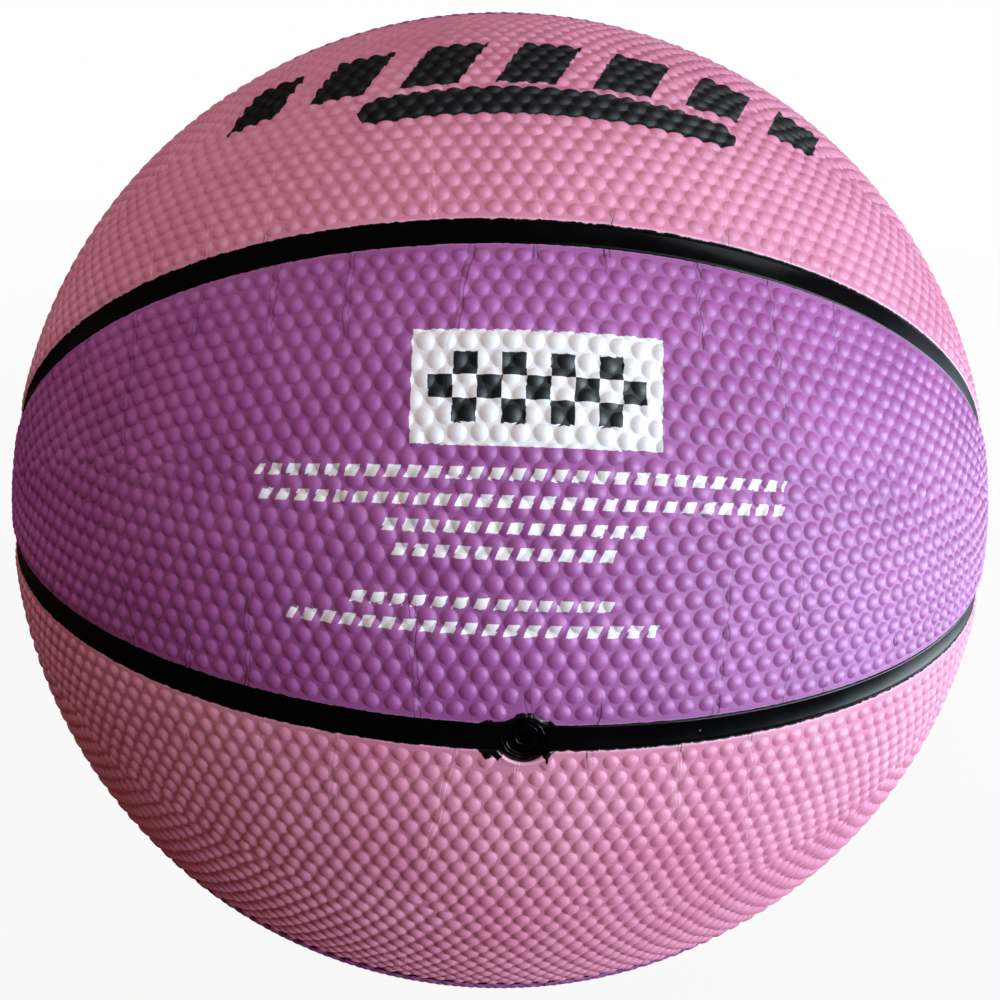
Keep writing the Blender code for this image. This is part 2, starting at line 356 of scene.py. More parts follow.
# Channel strips
# Eight black strips run from pole to pole between the panels, dished across and lacquered to a deep gloss.
# They are mitred where they meet, and the front one opens into an eye round the valve.
PANEL_COUNT = 8
PANEL_TURN = 2 * math.pi / PANEL_COUNT
CHANNEL_HALF_WIDTH = 2.3 * mm
STRIP_CLEARANCE = 0.03 * mm
STRIP_FOOT = 109.45 * mm
STRIP_LIP = 110.42 * mm
STRIP_DISH = 110.24 * mm
STRIP_ROUGHNESS = 0.21
DISH_STEPS = 8
STRIP_STEPS = 540
EYE_RADII = {1: 3.6 * mm, -1: 4.6 * mm}
NO_EYE = {1: 0.0, -1: 0.0}
EYE_TOP = 110.38 * mm
EYE_MARGIN = 0.01 * mm
CLEAR_OF_FOOT = 0.2 * mm
MITRE_GAP = 0.02 * mm
MITRE_WELD = 0.0001 * mm
DRILL_LENGTH = 20 * mm


def channel_half_width(along, half_width, eye_radius):
    """Half the width of the front channel at a distance along it from the valve."""
    if abs(along) >= eye_radius:
        return half_width
    return max(half_width, math.sqrt(eye_radius**2 - along**2))


def strip_mesh(name, eye_radii):
    """A dished strip bent round the ball at the valve's level, from the pole at -X to the one at +X."""
    half_width = CHANNEL_HALF_WIDTH - STRIP_CLEARANCE
    section = [(-half_width, STRIP_FOOT), (half_width, STRIP_FOOT)]
    for step in range(DISH_STEPS + 1):
        side = 1 - 2 * step / DISH_STEPS
        section.append((side * half_width, STRIP_DISH + (STRIP_LIP - STRIP_DISH) * side**2))
    bm = bmesh.new()
    corners = [bm.verts.new((-radius, 0, across)) for across, radius in section]
    rims = [bm.edges.new(pair) for pair in zip(corners, corners[1:] + corners[:1])]
    bmesh.ops.spin(
        bm, geom=corners + rims, cent=(0, 0, 0), axis=(0, 0, 1), angle=math.pi, steps=STRIP_STEPS
    )
    for vert in bm.verts:
        along = math.atan2(vert.co.x, -vert.co.y) * STRIP_LIP
        side = 1 if vert.co.z > 0 else -1
        vert.co.z *= channel_half_width(along, half_width, eye_radii[side]) / half_width
        from_valve = math.hypot(along, vert.co.z)
        if from_valve < eye_radii[side] + EYE_MARGIN and vert.co.length > STRIP_FOOT + CLEAR_OF_FOOT:
            level = EYE_TOP / math.hypot(vert.co.x, vert.co.y)
            vert.co.x *= level
            vert.co.y *= level
    for side in (-1, 1):
        mitre = Vector((0, math.sin(PANEL_TURN / 2), side * math.cos(PANEL_TURN / 2)))
        cut = bmesh.ops.bisect_plane(
            bm,
            geom=list(bm.verts) + list(bm.edges) + list(bm.faces),
            dist=MITRE_WELD,
            plane_co=mitre * -MITRE_GAP,
            plane_no=mitre,
            clear_outer=True,
        )
        open_edges = [part for part in cut["geom_cut"] if isinstance(part, bmesh.types.BMEdge)]
        bmesh.ops.holes_fill(bm, edges=open_edges)
    bmesh.ops.recalc_face_normals(bm, faces=bm.faces)
    mesh = bpy.data.meshes.new(name)
    bm.to_mesh(mesh)
    bm.free()
    return mesh


def cut_valve_way(mesh):
    """Cuts the way for the housing's stem through the front strip."""
    bm = bmesh.new()
    bmesh.ops.create_cone(
        bm,
        cap_ends=True,
        segments=TURN_STEPS,
        radius1=stem_radius + STRIP_CLEARANCE,
        radius2=stem_radius + STRIP_CLEARANCE,
        depth=DRILL_LENGTH,
        matrix=Matrix.Translation((0, -STRIP_LIP, 0)) @ Matrix.Rotation(math.pi / 2, 4, "X"),
    )
    drill_mesh = bpy.data.meshes.new("drill")
    bm.to_mesh(drill_mesh)
    bm.free()
    drill = bpy.data.objects.new("drill", drill_mesh)
    blank = bpy.data.objects.new("blank", mesh)
    for made in (drill, blank):
        bpy.context.scene.collection.objects.link(made)
    boolean = blank.modifiers.new("way", "BOOLEAN")
    boolean.operation = "DIFFERENCE"
    boolean.object = drill
    drilled = bpy.data.meshes.new_from_object(blank.evaluated_get(bpy.context.evaluated_depsgraph_get()))
    for made in (drill, blank):
        bpy.data.objects.remove(made)
    return drilled


channel_lacquer = black_lacquer("channel_lacquer", STRIP_ROUGHNESS)
front_strip = cut_valve_way(strip_mesh("front_strip", EYE_RADII))
add_piece("strip_0", front_strip, channel_lacquer, "ball", ["valve_channel_strip"])
plain_strip = strip_mesh("plain_strip", NO_EYE)
for number in range(1, PANEL_COUNT):
    turned_strip = plain_strip.copy()
    turned_strip.transform(Matrix.Rotation(-number * PANEL_TURN, 4, "X"))
    strip_node = f"channel_strip_{number}"
    add_piece(f"strip_{number}", turned_strip, channel_lacquer, "ball", [strip_node])

# Panels
# Eight lunes of moulded rubber, pink and purple in turn, covered with round pebbles for grip. The mould's
# rows of pebbles follow both channels and meet along the middle of the panel. The first row is smaller.
ball_radius = max(vert.co.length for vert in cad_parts["purple_panel_1"].data.vertices)
PEBBLE_HEIGHT = 0.57 * mm
PEBBLE_RADIUS = 1.66 * mm
PEBBLE_CROWN = 0.5
PEBBLE_INSET = 0.1 * mm
NECK = 0.492
OUT_OF_ROUND = 1.05
OPENED = 40.0
PEBBLE_PITCH = 3.52 * mm
ROW_PITCH = 3.03 * mm
FIRST_ROW = 2.55 * mm
FIRST_ROW_MARGIN = 0.01 * mm
FULL_SIZE_FROM = 11 * mm
EDGE_PEBBLE_SHARE = 0.9
SIZE_GROWTH = 0.6
LAST_PEBBLE_FROM_AXIS = 13.5 * mm

# Shares of the pitch: how each side's rows are shifted, how far they run past the middle of the panel, and
# how close two pebbles may start
ROW_SHIFT = 0.25
PAST_MIDDLE = 0.1
PAST_OTHER_SIDE = 0.3
CROWDED = 0.68

# How the pebbles push each other apart, and how far the real ones stray from even places
SETTLING_ROUNDS = 200
SETTLING_REACH = 1.15
SETTLING_STEP = 0.15
SECOND_ROW_SHARE = 0.8
STRAY = 0.42 * mm
STRAY_SEED = 1

# The valve's notch, the outline and the rolled edge, as pairs of inset and depth below the valleys
NOTCH_RADII = {-1: 3.65 * mm, 1: 4.65 * mm}
NOTCH_LIP = 0.25 * mm
BY_NOTCH = 2.1 * mm
ROOM_BY_NOTCH = 0.88
RIM_ROOM = 0.2 * mm
MARGIN = 0.85 * mm
EDGE_STEP = 2.4 * mm
NOTCH_STEP = 0.5 * mm
STEP_GAP = 0.4
EDGE_ROLL = ((0.50 * mm, 0.02 * mm), (0.12 * mm, 0.12 * mm), (0.0, 0.42 * mm))
PANEL_FOOT = 109.42 * mm
FOOT_INSET = 0.6 * mm
UNDERSIDE_CUTS = 6
PANEL_WELD = 0.005 * mm

# Settings of the triangulation: keep what lies inside the outline, and merge points nearer than this, in mm
INSIDE_OUTLINE = 1
NET_WELD = 0.001

half_turn = PANEL_TURN / 2
valley_radius = ball_radius - PEBBLE_HEIGHT
SIDES = (-1, 1)
inward = {side: Vector((0, -math.sin(half_turn), -side * math.cos(half_turn))) for side in SIDES}
outward = {side: Vector((0, -math.cos(half_turn), side * math.sin(half_turn))) for side in SIDES}


def from_channel(point, side):
    """How far a point lies from the middle plane of the channel on one side of an upright panel."""
    return point.dot(inward[side])


def from_valve_hole(point, notch_side):
    """A point's place as seen from the middle of the valve."""
    return point - outward[notch_side] * ball_radius


def edge_distance(point, notch_side):
    """How far a point lies inside the panel's outline."""
    clear = min(from_channel(point, side) for side in SIDES) - CHANNEL_HALF_WIDTH
    if notch_side:
        clear = min(clear, from_valve_hole(point, notch_side).length - NOTCH_RADII[notch_side])
    return clear


def search_tree(places):
    """A tree that finds the nearest of some places."""
    tree = KDTree(len(places))
    for index, place in enumerate(places):
        tree.insert(place, index)
    tree.balance()
    return tree


def settle(places):
    """Lets the pebbles push each other apart until they lie evenly. First rows slide along the channels."""
    first = CHANNEL_HALF_WIDTH + FIRST_ROW
    on_first = []
    for place in places:
        sides = [side for side in SIDES if from_channel(place, side) < first + FIRST_ROW_MARGIN]
        on_first.append(sides[0] if sides else 0)
    reach = SETTLING_REACH * PEBBLE_PITCH
    for _ in range(SETTLING_ROUNDS):
        tree = search_tree(places)
        moved = []
        for index, place in enumerate(places):
            push = Vector()
            for other, other_index, gap in tree.find_range(place, reach):
                if other_index != index:
                    push += (place - other) / gap * (1 - gap / reach)
            place = place + push * SETTLING_STEP * PEBBLE_PITCH
            for side in SIDES:
                short = first + SECOND_ROW_SHARE * ROW_PITCH - from_channel(place, side)
                if not on_first[index] and short > 0:
                    place = place + inward[side] * short
            side = on_first[index]
            if side:
                level = place - inward[side] * from_channel(place, side)
                level = level.normalized() * math.sqrt(valley_radius**2 - first**2)
                place = level + inward[side] * first
            moved.append(place.normalized() * valley_radius)
        places = moved
    return places


def pebble_places():
    """Where the pebbles of an upright panel sit: rows along both channels, evened out."""
    rows = []
    for side in SIDES:
        row = 0
        distance = CHANNEL_HALF_WIDTH + FIRST_ROW
        while distance < valley_radius * math.sin(half_turn) + PAST_MIDDLE * ROW_PITCH:
            radius = math.sqrt(valley_radius**2 - distance**2)
            count = int(radius * math.pi / PEBBLE_PITCH) // 2
            start = 0.5 * (row % 2) + ROW_SHIFT * side
            for step in range(-count, count + 1):
                angle = (step + start) * PEBBLE_PITCH / radius
                ring = outward[side] * math.cos(angle) + Vector((1, 0, 0)) * math.sin(angle)
                place = inward[side] * distance + ring * radius
                near_axis = math.hypot(place.y, place.z) < LAST_PEBBLE_FROM_AXIS
                if not near_axis and from_channel(place, -side) > distance - PAST_OTHER_SIDE * ROW_PITCH:
                    rows.append((distance, place))
            row += 1
            distance += ROW_PITCH
    kept = []
    crowding = CROWDED * PEBBLE_PITCH
    for distance, place in sorted(rows, key=lambda pair: pair[0]):
        if all(abs(place.x - other.x) > crowding or (place - other).length > crowding for other in kept):
            kept.append(place)
    noise.seed_set(STRAY_SEED)
    strayed = [place + noise.noise_vector(place / mm) * STRAY for place in settle(kept)]
    return [place.normalized() * valley_radius for place in strayed]


def outline(notch_side):
    """Distances along the panel and sides, in order round its outline, closer together round the notch."""
    tip = math.acos((CHANNEL_HALF_WIDTH + MARGIN) / math.sin(half_turn) / valley_radius)
    steps = int(2 * tip * valley_radius / EDGE_STEP)
    points = []
    for side in SIDES:
        chain = [(2 * step / steps - 1) * tip for step in range(1, steps)]
        if side == notch_side:
            half = int((NOTCH_RADII[side] + MARGIN) / NOTCH_STEP)
            close = [step * NOTCH_STEP / valley_radius for step in range(-half, half + 1)]
            nearest = close[-1] + STEP_GAP * EDGE_STEP / valley_radius
            chain = sorted([angle for angle in chain if abs(angle) > nearest] + close)
        if side == -1:
            points += [(-tip, 0)] + [(angle, side) for angle in chain] + [(tip, 0)]
        else:
            points += [(angle, side) for angle in reversed(chain)]
    return points


def outline_point(angle, side, inset, radius, notch_side):
    """The point of the outline at an angle along the panel, moved in from the wall, at a radius."""
    if side == 0:
        from_axis = (CHANNEL_HALF_WIDTH + inset) / math.sin(half_turn)
        return Vector((math.copysign(math.sqrt(radius**2 - from_axis**2), angle), -from_axis, 0))
    distance = CHANNEL_HALF_WIDTH + inset
    if side == notch_side:
        distance = channel_half_width(angle * valley_radius, distance, NOTCH_RADII[side] + inset)
    reach = radius * math.cos(angle)
    turn = half_turn - math.asin(min(1.0, distance / reach))
    return Vector((radius * math.sin(angle), -reach * math.cos(turn), side * reach * math.sin(turn)))


def flattened(point):
    """A point of an upright panel on a flat sheet, in mm."""
    return Vector((math.atan2(point.x, -point.y), math.asin(point.z / point.length))) * valley_radius / mm


def grown_chain(bm, chain, closed):
    """Extrudes a chain of vertices and gives the new chain in the same order."""
    pairs = list(zip(chain, chain[1:] + chain[:1] if closed else chain[1:]))
    parts = bmesh.ops.extrude_edge_only(bm, edges=[bm.edges.get(pair) for pair in pairs])["geom"]
    fresh = {part for part in parts if isinstance(part, bmesh.types.BMVert)}
    ends = [[edge.other_vert(vert) for edge in vert.link_edges] for vert in chain]
    return [next(end for end in near if end in fresh) for near in ends]


def clear_of_valve(places, notch_side):
    """The pebbles' places, with those by the notch moved over or left out where there is no room."""
    if not notch_side:
        return places
    needed = NOTCH_RADII[notch_side] + BY_NOTCH
    kept = [place for place in places if from_valve_hole(place, notch_side).length >= needed]
    for place in places:
        off_valve = from_valve_hole(place, notch_side)
        short = needed - off_valve.length
        moved = (place + off_valve.normalized() * short).normalized() * valley_radius
        if short > 0 and all((moved - other).length > ROOM_BY_NOTCH * PEBBLE_PITCH for other in kept):
            kept.append(moved)
    return kept


def raise_pebbles(bm, knots, in_rim, places, notch_side):
    """Opens each knot of the net inside the rim into a round face, and raises the face to a dome."""
    crowned = bm.verts.layers.float["pebble"]
    creases = bm.edges.layers.float["crease_edge"]
    opened = bmesh.ops.bevel(
        bm,
        geom=knots,
        offset=OPENED,
        offset_type="PERCENT",
        segments=1,
        profile=0.5,
        affect="VERTICES",
        material=-1,
        clamp_overlap=False,
    )
    tree = search_tree(places)
    domes = [(face, tree.find(face.calc_center_median())[1]) for face in opened["faces"]]
    shares = {}
    for face, index in domes:
        inside = min(1.0, (edge_distance(places[index], notch_side) - FIRST_ROW) / FULL_SIZE_FROM)
        shares[index] = EDGE_PEBBLE_SHARE + (1 - EDGE_PEBBLE_SHARE) * max(0.0, inside) ** SIZE_GROWTH
        # Rounding the foot draws its corners in by this share
        drawn_in = (3 + math.cos(2 * math.pi / len(face.verts))) / 4
        gaps = {vert: (vert.co - places[index]).length * 100 / OPENED for vert in face.verts}
        by_rim = {vert for vert in gaps if any(edge.other_vert(vert) in in_rim for edge in vert.link_edges)}
        narrowest = min((gap for vert, gap in gaps.items() if vert not in by_rim), default=PEBBLE_PITCH)
        for vert, gap in gaps.items():
            room = gap - RIM_ROOM if vert in by_rim else gap * NECK / drawn_in
            radius = min(PEBBLE_RADIUS * shares[index], narrowest * NECK * OUT_OF_ROUND) / drawn_in
            vert.co = places[index] + (vert.co - places[index]).normalized() * min(radius, room)
    feet = [edge for face, _ in domes for edge in face.edges]
    bmesh.ops.inset_individual(bm, faces=[face for face, _ in domes], thickness=PEBBLE_INSET)
    for face, index in domes:
        middle = places[index]
        rise = 1 + PEBBLE_HEIGHT * shares[index] / valley_radius
        for vert in face.verts:
            vert.co = (middle + (vert.co - middle) * PEBBLE_CROWN) * rise
            vert[crowned] = 1.0
    for edge in feet:
        edge[creases] = 1.0
        edge.smooth = False


def close_edges(bm, loop, rim, notch_side):
    """Rolls the rim over into the channel, drops it down the wall and closes it across the underside."""
    rolls = [(inset, valley_radius - depth) for inset, depth in EDGE_ROLL]
    rolls += [(0.0, PANEL_FOOT), (FOOT_INSET, PANEL_FOOT)]
    for inset, radius in rolls:
        loop = grown_chain(bm, loop, True)
        for vert, (angle, side) in zip(loop, rim):
            in_notch = side and side == notch_side and abs(angle) * valley_radius < NOTCH_RADII[side]
            lip = NOTCH_LIP if in_notch and inset > 0 and radius > PANEL_FOOT else 0.0
            vert.co = outline_point(angle, side, inset, radius + lip, notch_side)
    far_tip = len(rim) // 2
    chain = loop[: far_tip + 1]
    low = [vert.co.copy() for vert in chain]
    high = [vert.co.copy() for vert in loop[:1] + loop[: far_tip - 1 : -1]]
    for cut in range(1, UNDERSIDE_CUTS + 1):
        chain = grown_chain(bm, chain, False)
        for vert, start, end in zip(chain, low, high):
            vert.co = start.lerp(end, cut / UNDERSIDE_CUTS).normalized() * PANEL_FOOT


def panel_mesh(name, places, notch_side):
    """An upright panel: a net with a pebble at each knot, rolled edges, walls and an underside."""
    rim = outline(notch_side)
    places = clear_of_valve(places, notch_side)
    points = [outline_point(angle, side, MARGIN, valley_radius, notch_side) for angle, side in rim] + places
    rim_edges = [(index, (index + 1) % len(rim)) for index in range(len(rim))]
    flat_points = [flattened(point) for point in points]
    _, _, triangles, sources, _, _ = delaunay_2d_cdt(flat_points, rim_edges, [], INSIDE_OUTLINE, NET_WELD)
    bm = bmesh.new()
    bm.verts.layers.float.new("pebble")
    bm.edges.layers.float.new("crease_edge")
    knots = [bm.verts.new(point) for point in points]
    for triangle in triangles:
        bm.faces.new([knots[sources[corner][0]] for corner in triangle])
    bmesh.ops.recalc_face_normals(bm, faces=bm.faces)
    loop = knots[: len(rim)]
    raise_pebbles(bm, knots[len(rim) :], set(loop), places, notch_side)
    close_edges(bm, loop, rim, notch_side)
    bmesh.ops.remove_doubles(bm, verts=bm.verts, dist=PANEL_WELD)
    bmesh.ops.recalc_face_normals(bm, faces=bm.faces)

    # Where each point lies on the panel, in mm, for the material: along it, across it and in from its edge
    sheet = bm.verts.layers.float_vector.new("panel_mm")
    for vert in bm.verts:
        along = math.asin(max(-1.0, min(1.0, vert.co.x / vert.co.length)))
        across = math.atan2(vert.co.z, -vert.co.y)
        edge = edge_distance(vert.co.normalized() * ball_radius, notch_side)
        vert[sheet] = Vector((along * ball_radius, across * ball_radius, edge)) / mm
    mesh = bpy.data.meshes.new(name)
    bm.to_mesh(mesh)
    bm.free()
    return mesh


# Five tones of each rubber: deep, pale, painted shade for the valleys, a pale edge that is partly wear and
# partly painted highlight, and the creases
PINK_TONES = ("d27e9f", "dc8fad", "b25a7c", "eeb8cb", "e3a4bb")
PURPLE_TONES = ("974890", "a6589f", "763271", "c692c8", "5e2459")
INK_WHITE = "e9e6ea"
INK_BLACK = "0c0b0d"

# The rubber's mottling and wear. Sizes on the panels are in mm
CLOUD_SIZE = 26.0
CLOUD_SPAN = (0.36, 0.64)
SPECKLE_SIZE = 0.8
GRAIN_SIZE = 0.45
GRAIN_DEPTH = 0.03 * mm
VALLEY_TOP = 0.55
PAINTED_VALLEY_SHADE = 0.3
WEAR_AND_HIGHLIGHT_SPAN = (0.2, 0.7)
WEAR_AND_HIGHLIGHT_SHARE = 0.6
SATIN_SPAN = (0.1, 0.9)
SATIN_ENDS = (0.52, 0.43)
SATIN_UNEVEN = 0.16

# Creases: where they start along a channel, how they lean and wander, and how long they are
CREASE_SPACING = 15.0
CREASE_SPREAD = 4.0
CREASE_LEAN = 0.22
CREASE_LENGTHS = (2.0, 30.0)
LENGTH_POWERS = (2.6, 0.7)
CREASE_CUT = -3.0
WANDER_SIZE = 9.0
WANDER = 2.2
BUNDLE_CORE = 0.3
BUNDLE_WIDTH = 1.15
HAIRLINE_SPACING = 0.9
CREASE_WIDTH = 0.2
FLEX_PATCHES = 8.0
FLEX_REACH = 14.0
FLEX_SPAN = (6.0, 11.0)
UPPER_SEED = 37.3
HAIRLINE_SEED = 11.7

# Lacquer on the panels: its ragged border, the blotch by the valve and the stains. The border reaches
# further out towards the ball's left end, where that extra black is painted shade along the channels.
BORDER_SIZE = 1.5
BORDER_SPAN = (0.3, 0.7)
BORDER_REACH = (-0.02, 0.38)
BORDER_SOFTNESS = 0.05
PAINTED_SHADE_SPAN = (10.0, -50.0)
PAINTED_SHADE_REACH = 0.25
BLOTCH_SIZE = 2.6
BLOTCH_SPAN = (5.4, 6.6)
BLOTCH_SHIFT = 1.2
LIP_SPAN = (3.2, 4.0)
LIP_WIPED = -0.5
SOAKED_SPAN = (1.2, 3.2)
STAINED_FROM = 0.45
PANEL_LACQUER_ROUGHNESS = 0.26

INK_SHAKE_SIZE = 1.1
INK_SHAKE = (0.14, 0.14, 0.0)


def crease_lines(tree, sheet):
    """Bundles of wandering hairlines that start at the channels, each with its own lean and length.

    They are longer on the upper half of a panel. Gives the whole bundles, the part of them that was flexed
    and a chance for each bundle."""
    along, across, edge = add_node(tree, "SeparateXYZ", {0: sheet}).outputs
    cell = maths(tree, "ROUND", maths(tree, "DIVIDE", along, CREASE_SPACING))
    upper = maths(tree, "GREATER_THAN", across, 0.0)
    seed = maths(tree, "MULTIPLY_ADD", upper, UPPER_SEED, cell)
    draw = add_node(tree, "TexWhiteNoise", {"W": seed}, noise_dimensions="1D").outputs["Color"]
    place_chance, lean_chance, length_chance = add_node(tree, "SeparateXYZ", {0: draw}).outputs

    in_cell = maths(tree, "MULTIPLY_ADD", cell, -CREASE_SPACING, along)
    start = ramp(tree, place_chance, ends=(-CREASE_SPREAD, CREASE_SPREAD))
    lean = ramp(tree, lean_chance, ends=(-CREASE_LEAN, CREASE_LEAN))
    off_start = maths(tree, "SUBTRACT", in_cell, start)
    bend = maths(tree, "MULTIPLY_ADD", mottle(tree, sheet, WANDER_SIZE, 5.0), WANDER, off_start)
    off_line = maths(tree, "SUBTRACT", bend, maths(tree, "MULTIPLY", lean, edge))
    aside = maths(tree, "ABSOLUTE", maths(tree, "SUBTRACT", off_line, WANDER / 2))
    fold = ramp(tree, aside, (BUNDLE_CORE, BUNDLE_WIDTH), (1.0, 0.0))

    strands = maths(tree, "DIVIDE", off_line, HAIRLINE_SPACING)
    strand = maths(tree, "MULTIPLY_ADD", seed, HAIRLINE_SEED, strands)
    one_way = {"voronoi_dimensions": "1D", "feature": "DISTANCE_TO_EDGE"}
    hairs = add_node(tree, "TexVoronoi", {"W": strand, "Scale": 1.0}, **one_way)
    line = ramp(tree, hairs, (0.0, CREASE_WIDTH / HAIRLINE_SPACING), (1.0, 0.0))
    bundle = maths(tree, "MULTIPLY", line, fold)

    stretch = maths(tree, "POWER", length_chance, ramp(tree, upper, ends=LENGTH_POWERS))
    left = maths(tree, "SUBTRACT", ramp(tree, stretch, ends=CREASE_LENGTHS), edge)
    worn = maths(tree, "MULTIPLY_ADD", mottle(tree, sheet, FLEX_PATCHES), FLEX_REACH, left)
    crease = maths(tree, "MULTIPLY", bundle, ramp(tree, worn, FLEX_SPAN))
    return bundle, crease, lean_chance


def lacquer_reach(tree, sheet, valve_side, valve_paint, lip_wiped):
    """How far the black lacquer runs over a panel's edge: ragged, and further out by the valve."""
    along, across, _ = add_node(tree, "SeparateXYZ", {0: sheet}).outputs
    ragged = mottle(tree, sheet, BORDER_SIZE, 4.0, 0.65)
    brushed = ramp(tree, ragged, BORDER_SPAN, BORDER_REACH)
    # Painted shade: the black reaches further over the edge towards the ball's dark left end.
    painted_shade_reach = ramp(tree, along, PAINTED_SHADE_SPAN, (0.0, PAINTED_SHADE_REACH))
    reach = maths(tree, "ADD", brushed, painted_shade_reach)
    if not valve_side:
        return reach
    off_valve = maths(tree, "ABSOLUTE", maths(tree, "ADD", along, BLOTCH_SHIFT))
    on_side = maths(tree, "MULTIPLY", across, float(valve_side))
    near_side = maths(tree, "GREATER_THAN", on_side, 0.0)
    by_valve = ramp(tree, off_valve, BLOTCH_SPAN, (valve_paint, 0.0))
    blotched = maths(tree, "MULTIPLY", by_valve, mottle(tree, sheet, BLOTCH_SIZE, 3.0))
    if lip_wiped:
        past_lip = ramp(tree, maths(tree, "ABSOLUTE", along), LIP_SPAN)
        painted = maths(tree, "MULTIPLY", blotched, past_lip)
        blotched = maths(tree, "ADD", painted, ramp(tree, past_lip, ends=(LIP_WIPED, 0.0)))
    return maths(tree, "MULTIPLY_ADD", blotched, near_side, reach)


def moulded_rubber(name, tones, draw_ink=None, valve_side=0, valve_paint=0.0, lip_wiped=False):
    """Rubber as it leaves a steel mould: satin, mottled, dull in the valleys, creased where it was flexed.

    Black lacquer from the channels runs over its edges, and its creases soak up some of it."""
    deep, pale, valley, worn, creased = tones
    made, tree = empty_material(name)
    sheet = add_node(tree, "Attribute", attribute_name="panel_mm").outputs["Vector"]
    edge = add_node(tree, "SeparateXYZ", {0: sheet}).outputs["Z"]
    dome = add_node(tree, "Attribute", attribute_name="pebble").outputs["Fac"]

    # Colour: cloudy mixing of the batch, painted shade in the valleys, creases, and a pale edge by the
    # channel that is partly wear and partly a painted highlight
    clouds = ramp(tree, mottle(tree, sheet, CLOUD_SIZE, 5.0, 0.6), CLOUD_SPAN)
    colour = blended(tree, clouds, deep, pale)
    speckle = mottle(tree, sheet, SPECKLE_SIZE, 3.0)
    # Painted shade: the valleys between the pebbles are darkened, more at the speckles.
    low = ramp(tree, dome, (0.0, VALLEY_TOP), (PAINTED_VALLEY_SHADE, 0.0), "SMOOTHSTEP")
    colour = blended(tree, maths(tree, "MULTIPLY", low, speckle), colour, valley)
    bundle, crease, stain_chance = crease_lines(tree, sheet)
    colour = blended(tree, crease, colour, creased)
    # A pale band along the edge, partly wear and partly a painted highlight of the rolled edge.
    wear_and_highlight = ramp(tree, edge, WEAR_AND_HIGHLIGHT_SPAN, (WEAR_AND_HIGHLIGHT_SHARE, 0.0), "SMOOTHSTEP")
    colour = blended(tree, wear_and_highlight, colour, worn)

    # Ink: printed over the pebbles, a little ragged
    if draw_ink:
        shake = mottle(tree, sheet, INK_SHAKE_SIZE).outputs["Color"]
        shift = add_node(tree, "VectorMath", {0: shake, 1: (0.5, 0.5, 0.5)}, operation="SUBTRACT")
        shaken = add_node(tree, "VectorMath", {0: shift, 1: INK_SHAKE, 2: sheet}, operation="MULTIPLY_ADD")
        ink_along, ink_across, _ = add_node(tree, "SeparateXYZ", {0: shaken}).outputs
        for mask, ink in draw_ink(tree, ink_along, ink_across):
            colour = blended(tree, mask, colour, ink)

    # Lacquer: black over the edge, and soaked into some of the creases there
    reach = lacquer_reach(tree, sheet, valve_side, valve_paint, lip_wiped)
    over = maths(tree, "SUBTRACT", reach, edge)
    coat = ramp(tree, over, (-BORDER_SOFTNESS, BORDER_SOFTNESS))
    soaked = ramp(tree, edge, SOAKED_SPAN, (1.0, 0.0))
    stained = maths(tree, "GREATER_THAN", stain_chance, STAINED_FROM)
    ticks = maths(tree, "MULTIPLY", bundle, maths(tree, "MULTIPLY", soaked, stained))
    lacquer = maths(tree, "MAXIMUM", coat, ticks)
    colour = blended(tree, lacquer, colour, LACQUER_BLACK)

    # Gloss: satin tops, dull valleys, glossy lacquer
    satin = ramp(tree, dome, SATIN_SPAN, SATIN_ENDS)
    uneven = maths(tree, "MULTIPLY_ADD", speckle, SATIN_UNEVEN, satin)
    gloss = ramp(tree, lacquer, ends=(uneven, PANEL_LACQUER_ROUGHNESS))

    # Relief: a fine mould grain, drawn coarser than the real one so that it shows, and the creases cut in
    cut = maths(tree, "MULTIPLY_ADD", crease, CREASE_CUT, mottle(tree, sheet, GRAIN_SIZE))
    bump = add_node(tree, "Bump", {"Height": cut, "Strength": 0.5, "Distance": GRAIN_DEPTH})
    finish = {"Base Color": colour, "Roughness": gloss, "Normal": bump}
    finish |= {"IOR": 1.5, "Specular IOR Level": 0.72}
    shader = add_node(tree, "BsdfPrincipled", finish)
    add_node(tree, "OutputMaterial", {"Surface": shader})
    return made


def within(tree, value, middle, reach):
    """1 where a value lies within a reach of a middle, 0 elsewhere."""
    return maths(tree, "COMPARE", value, middle, reach)


def both(tree, one, other):
    """1 where two masks overlap."""
    return maths(tree, "MULTIPLY", one, other)


# The prints, in mm along and across a panel. A row of dashes is its level, its middle and half its length
BLOCK_LEVEL = 15.3
BLOCK_HALVES = (20.8, 9.7)
CHEQUER_HALVES = (18.0, 6.0)
CHEQUER_SQUARE = 4.0
DASH_ROWS = (
    (1.07, -2.0, 45.7),
    (-3.4, 0.0, 45.0),
    (-7.7, 0.0, 22.3),
    (-11.8, 0.0, 18.5),
    (-20.2, 0.0, 22.1),
    (-24.4, 0.0, 31.0),
)
DASH_SLANT = -0.4
DASH_HALF_PITCH = 1.7
DASH_HALF_WIDTH = 1.05
DASH_HALF_HEIGHT = 1.0
ARCH_REACH = 72
ARCH_DROP = -5.5
BAR_SLANT = -0.35
BAR_HALF_PITCH = 9.0
BAR_HALF_WIDTH = 5.6
BAR_HALF_HEIGHT = 8.3
BARS_LEVEL = 2.5
BARS_HALF_LENGTH = 61.0
PILL_MIDDLE = (2.5, -11.7)
PILL_HALF_LENGTH = 31.4
PILL_RADIUS = 4.1


def rectangle(tree, along, across, level, halves):
    """1 inside an upright rectangle in the middle of a panel, at a level."""
    return both(tree, within(tree, along, 0.0, halves[0]), within(tree, across, level, halves[1]))


